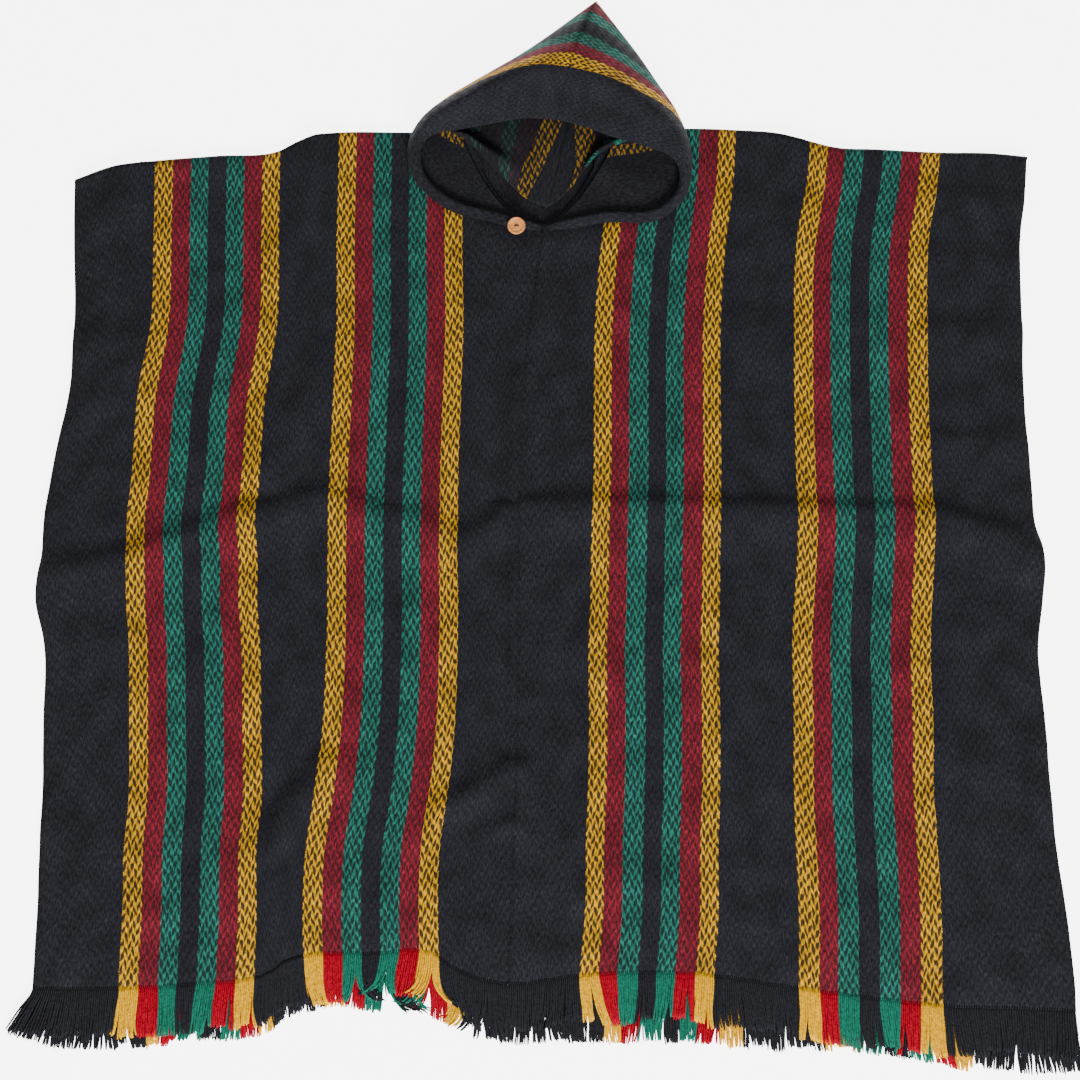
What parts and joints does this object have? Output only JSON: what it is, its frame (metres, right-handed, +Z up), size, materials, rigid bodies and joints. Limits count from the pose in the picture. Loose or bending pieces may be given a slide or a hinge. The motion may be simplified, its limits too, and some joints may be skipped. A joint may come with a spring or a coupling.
{
  "type": "hooded wool poncho laid flat",
  "caption": "Hooded striped wool poncho laid flat, with a fringe along both hems and a button at the neck.",
  "frame": {"origin": "middle of the plan, on the surface that the poncho lies on", "axes": "+Z up from that surface, +Y from the fringed hems to the hood, +X to the right seen from above"},
  "size_m": [1.0969, 1.1774, 0.0721],
  "materials": {
    "wool": "brushed, dull",
    "yarn": "loose yarn, dull",
    "button_wood": "turned, satin"
  },
  "bodies": {
    "root": {"left_panel": "wool", "right_panel": "wool", "hood_left": "wool", "hood_right": "wool", "fringe_front_left": "yarn", "fringe_front_right": "yarn", "fringe_back_left": "yarn", "fringe_back_right": "yarn", "button": "button_wood"}
  },
  "joints": []
}
